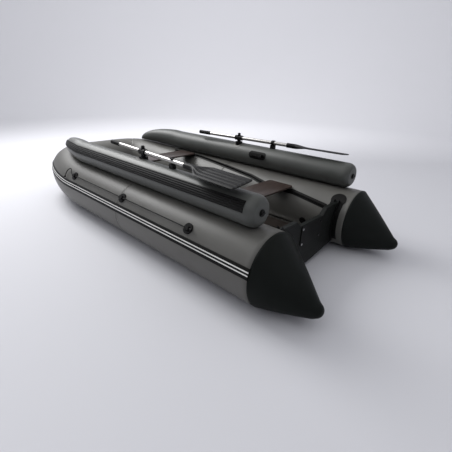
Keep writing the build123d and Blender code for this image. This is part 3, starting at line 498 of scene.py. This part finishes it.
upper = {"radius": 0.100, "out": 0.0204, "start": 0.097, "taperStart": 2.250, "taperEnd": 2.886,
         "gap": 0.0003, "lift": 0.007, "around": 88, "dome": 14,
         "strakeStart": 0.158, "strakeLow": 5.0, "strakeHigh": 47.0,
         "strakeThick": 0.0058, "ribs": 5}


def upperLine(u, d):
    # Centre and radius at distance d: it rides on the tube below; its radius follows a quarter ellipse
    x = hull["stern"] + d
    straight = halfPoints[:, 0]
    y = np.interp(x, straight, halfPoints[:, 1])
    z = np.interp(x, straight, halfPoints[:, 2])
    slope = np.gradient(z, x)
    t = np.clip((d - u["taperStart"]) / (u["taperEnd"] - u["taperStart"]), 0, 1)
    r = u["radius"] * np.sqrt(np.maximum(1 - t * t, 0.0009))
    out = u["out"] * (1 - t)
    spare = u["gap"] + u["lift"] * np.minimum(1, 6 * t)
    reach = hull["radius"] * np.sqrt(1 + slope ** 2) + r + spare
    return np.stack([x, y + out, z + np.sqrt(reach ** 2 - out ** 2)], axis=1), r


def makeUpper(u, side, name):
    # Circles across the boat: a domed stern end, a long straight, then the tapered bow end.
    dome = np.linspace(0, math.pi / 2, u["dome"])
    taper = u["taperEnd"] - u["taperStart"]
    d = np.concatenate([u["start"] + 0.056 * (1 - np.cos(dome)), np.arange(0.19, u["taperStart"], 0.05),
                        u["taperStart"] + taper * np.sin(np.linspace(0, math.pi / 2, 44))])
    centre, r = upperLine(u, d)
    r[:u["dome"]] = u["radius"] * (0.62 + 0.38 * np.sin(dome))
    a = np.linspace(0, 2 * math.pi, u["around"], endpoint=False)
    points = np.stack([np.broadcast_to(centre[:, :1], (len(d), len(a))),
                       side * (centre[:, 1:2] + r[:, None] * np.cos(a)),
                       centre[:, 2:3] + r[:, None] * np.sin(a)], axis=-1)
    if side < 0:
        points = points[:, ::-1]
    o = gridPiece(name, points, "upperCloth", caps=True)
    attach(o, "hull")
    return o


def makeUpperStrake(u, side, name):
    # Sector over the outboard shoulder; its height is a row of rounded ribs with thin edges.
    d = np.concatenate([np.arange(u["strakeStart"], u["taperStart"], 0.05),
                        u["taperStart"] + (u["taperEnd"] - 0.02 - u["taperStart"])
                        * np.sin(np.linspace(0, math.pi / 2, 40))])
    centre, r = upperLine(u, d)
    across = np.linspace(0, 1, 61)
    angle = np.radians(u["strakeLow"] + (u["strakeHigh"] - u["strakeLow"]) * across)
    rib = np.abs(np.sin(across * math.pi * u["ribs"])) ** 0.6
    edge = np.clip(np.minimum(across, 1 - across) / 0.03, 0, 1)
    high = 0.0008 + (u["strakeThick"] - 0.0008) * (0.35 + 0.65 * rib) * edge
    a = np.concatenate([angle, angle[::-1]])
    over = np.concatenate([high, np.full(len(high), 0.0003)])
    radius = r[:, None] + over[None, :]
    points = np.stack([np.broadcast_to(centre[:, :1], radius.shape),
                       side * (centre[:, 1:2] + radius * np.cos(a)),
                       centre[:, 2:3] + radius * np.sin(a)], axis=-1)
    if side < 0:
        points = points[:, ::-1]
    o = gridPiece(name, points, "blackRubber", caps=True)
    sharpen(o, 40)
    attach(o, "hull")
    return o


for side, word in ((1, "port"), (-1, "starboard")):
    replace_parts(makeUpper(upper, side, f"{word}UpperTube"), f"{word}_upper_tube")
    ribbed = makeUpperStrake(upper, side, f"{word}UpperStrake")
    if side == 1:
        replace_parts(ribbed, "upper_tube_strakes")
print("upper tubes made")


# Cords: route points in metres, the same as the model's

cords = {"lineAngle": 38.0, "lineReach": 0.015, "diameter": 0.008, "lineLength": 1.90,
         "loopDiameter": 0.0035, "loopLength": 0.106, "loopAt": (0.061, 0.150, 0.091)}


def cordCurve(name, route, diameter, look):
    curve = bpy.data.curves.new(name, "CURVE")
    curve.dimensions = "3D"
    curve.bevel_depth = diameter / 2
    curve.bevel_resolution = 5
    curve.use_fill_caps = True
    spline = curve.splines.new("NURBS")
    spline.points.add(len(route) - 1)
    spline.points.foreach_set("co", np.c_[np.array(route), np.ones(len(route))].ravel())
    spline.order_u = 3
    spline.use_endpoint_u = True
    spline.resolution_u = 16
    curve.materials.append(looks[look])
    o = bpy.data.objects.new(name, curve)
    bpy.context.scene.collection.objects.link(o)
    return o


def lifelineRoute(c, side):
    x = hull["stern"]
    reach = hull["radius"] + c["lineReach"]
    y = hull["side"] + reach * math.cos(math.radians(c["lineAngle"]))
    z = hull["radius"] + reach * math.sin(math.radians(c["lineAngle"]))
    route = [(0.512, y, z), (2.181, y, z), (2.216, y, z), (2.245, 0.764, 0.416),
             (2.268, 0.748, 0.432), (2.298, 0.744, 0.437), (2.322, 0.757, 0.423), (2.331, 0.778, 0.398),
             (2.325, 0.797, 0.366)]
    return [(x + px, side * py, pz) for px, py, pz in route]


for side, word in ((1, "port"), (-1, "starboard")):
    route = lifelineRoute(cords, side)
    rope = cordCurve(f"{word}Lifeline", route, cords["diameter"], "cordCover")
    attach(rope, "hull")
    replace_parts(rope, f"{word}_lifeline")

loopX = hull["stern"] + cords["loopAt"][0]
loopY, loopZ = cords["loopAt"][1:]
loopRoute = [(loopX, loopY + 0.004, loopZ), (loopX - 0.003, loopY + 0.006, loopZ - 0.016),
             (loopX - 0.006, loopY + 0.016, loopZ - 0.026), (loopX - 0.008, loopY + 0.012, loopZ - 0.040),
             (loopX - 0.008, loopY - 0.004, loopZ - 0.044), (loopX - 0.007, loopY - 0.014, loopZ - 0.032),
             (loopX - 0.004, loopY - 0.008, loopZ - 0.017), (loopX, loopY - 0.004, loopZ)]
loop = cordCurve("plugLoop", loopRoute, cords["loopDiameter"], "cordCover")
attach(loop, "drain_bung")
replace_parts(loop, "drain_plug_loop")
print("cords made")


# Bench planks

bench = {"corner": 0.028, "edge": 0.004, "cornerSteps": 14}


def makeBench(b, node, body):
    # Rounded rectangle carried up the plank's thickness, drawn in at both edges by a quarter round
    low, high = (np.array(corner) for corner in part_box(node))
    halfSize = (high - low)[:2] / 2
    centre = (high + low)[:2] / 2
    quarter = np.linspace(0, math.pi / 2, b["cornerSteps"])
    a = np.concatenate([quarter + k * math.pi / 2 for k in range(4)])
    corners = np.repeat(np.array([(1, 1), (-1, 1), (-1, -1), (1, -1)]), b["cornerSteps"], axis=0)
    e = np.linspace(0, math.pi / 2, 6)
    inset = b["edge"] * np.concatenate([1 - np.sin(e), 1 - np.cos(e)])
    z = np.concatenate([low[2] + b["edge"] * (1 - np.cos(e)), high[2] - b["edge"] * (1 - np.sin(e))])
    radius = b["corner"] - inset
    arc = radius[:, None, None] * np.stack([np.cos(a), np.sin(a)], axis=-1)
    flat = (corners * (halfSize - b["corner"]))[None] + arc
    heights = np.broadcast_to(z[:, None, None], flat.shape[:2] + (1,))
    points = np.concatenate([centre + flat, heights], axis=-1)
    o = gridPiece(f"{body}Plank", points, "benchWood", caps=True)
    sharpen(o, 40)
    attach(o, body)
    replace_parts(o, node)


for word in ("rear", "front"):
    makeBench(bench, f"{word}_bench_plank", f"{word}_bench")
print("benches made")


# Oar blades and grips

oar = {"turn": math.atan2(77.0, 1090.0), "tilt": math.radians(9.0),
       "sleeveStart": 0.5515, "sleeveRadius": 0.021, "widenStart": 0.630, "widenEnd": 0.760,
       "end": 1.1029, "halfWidth": 0.0845, "edge": 0.0026, "tipRound": 0.024,
       "ribHigh": 0.0042, "ribPitch": 0.034, "gripStart": 0.3815, "gripEnd": 0.5408, "gripRadius": 0.0185,
       "gripRings": 15, "gripGroove": 0.0011, "around": 144}


def alongOar(o, local, side):
    # From along, across and up of the oar to the boat's frame: a turn about the pin, mirrored for starboard
    pin = np.array([middle("port_oar_collar", axis) for axis in range(3)]) + (0, 0, 0.001)
    ahead = np.array([math.cos(o["turn"]), -math.sin(o["turn"]), 0.0])
    across = np.array([math.sin(o["turn"]), math.cos(o["turn"]), 0.0])
    points = pin + local[..., :1] * ahead + local[..., 1:2] * across + local[..., 2:3] * np.array([0, 0, 1.0])
    return points * np.array([1, side, 1])


def makeBlade(o, side, word):
    # A round sleeve blends by a smooth step into a wide flat loop; its faces swell into ribs, a cosine across
    tip = np.linspace(0, math.pi / 2, 10)
    u = np.concatenate([np.linspace(o["sleeveStart"], o["widenEnd"], 40),
                        np.linspace(o["widenEnd"] + 0.015, o["end"] - o["tipRound"], 16),
                        o["end"] - o["tipRound"] * (1 - np.sin(tip[1:]))])
    t = np.clip((u - o["widenStart"]) / (o["widenEnd"] - o["widenStart"]), 0, 1)
    t = (t * t * (3 - 2 * t))[:, None]
    near = np.clip((u - o["end"] + o["tipRound"]) / o["tipRound"], 0, 1)[:, None]
    width = o["halfWidth"] - o["tipRound"] * (1 - np.sqrt(np.maximum(1 - near ** 2, 0.0)))
    a = np.linspace(0, 2 * math.pi, o["around"], endpoint=False)[None]
    y = width * np.cos(a)
    fade = np.clip((1 - np.abs(np.cos(a))) / 0.06, 0, 1) * np.clip((1 - near) / 0.5, 0, 1)
    ribs = o["ribHigh"] * (0.5 + 0.5 * np.cos(2 * math.pi * y / o["ribPitch"])) * fade
    z = (o["edge"] + ribs) * np.sign(np.sin(a)) * np.abs(np.sin(a)) ** 0.35
    y = (1 - t) * o["sleeveRadius"] * np.cos(a) + t * y
    z = (1 - t) * o["sleeveRadius"] * np.sin(a) + t * z
    c, d = math.cos(o["tilt"]), math.sin(o["tilt"])
    local = np.stack([np.broadcast_to(-u[:, None], y.shape), y * c + z * d, z * c - y * d], axis=-1)
    points = alongOar(o, local, side)
    if side > 0:
        points = points[:, ::-1]
    piece = gridPiece(f"{word}Blade", points, "blackPlastic", caps=True)
    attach(piece, f"{word}_oar")
    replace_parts(piece, f"{word}_oar_blade")


def makeGrip(o, side, word):
    # Circle carried along the oar; its radius is rounded at both ends and dips in even rings between
    u = np.linspace(o["gripStart"], o["gripEnd"], 181)
    fromEnd = np.minimum(u - o["gripStart"], o["gripEnd"] - u)
    ends = np.sqrt(np.clip(1 - (1 - np.clip(fromEnd / 0.006, 0, 1)) ** 2, 0, 1))
    share = (u - o["gripStart"]) / (o["gripEnd"] - o["gripStart"])
    rings = np.abs(np.sin(math.pi * o["gripRings"] * share)) ** 0.5
    r = (o["gripRadius"] - 0.006 + 0.006 * ends - o["gripGroove"] * (1 - rings))[:, None]
    a = np.linspace(0, 2 * math.pi, 48, endpoint=False)[None]
    local = np.stack([np.broadcast_to(u[:, None], (len(u), 48)), r * np.cos(a), r * np.sin(a)], axis=-1)
    points = alongOar(o, local, side)
    if side < 0:
        points = points[:, ::-1]
    piece = gridPiece(f"{word}Grip", points, "blackRubber", caps=True)
    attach(piece, f"{word}_oar")
    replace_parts(piece, f"{word}_oar_grip")


for side, word in ((1, "port"), (-1, "starboard")):
    makeBlade(oar, side, word)
    makeGrip(oar, side, word)
print("oars made")


# Finishes of the carried-over nodes

finishOfSlot = {"tube_fabric": "tubeCloth", "upper_tube_fabric": "upperCloth", "cone_rubber": "coneRubber",
                "black_rubber": "blackRubber", "white_rubber": "whiteRubber", "bottom_fabric": "bottomCloth",
                "transom_ply": "transomPaint", "floor_ply": "floorWood", "bench_ply": "benchWood",
                "aluminium": "aluminium", "black_plastic": "blackPlastic", "stainless": "steel",
                "black_cord": "cordCover"}
slotOfNode = {s["node"]: s["material_slot"] for s in frame["record"]["subparts"]}
for name, o in frame["nodes"].items():
    look = looks[finishOfSlot[slotOfNode[name]]]
    if not o.material_slots:
        o.data.materials.append(look)
    for place in o.material_slots:
        place.material = look
print("finishes set")
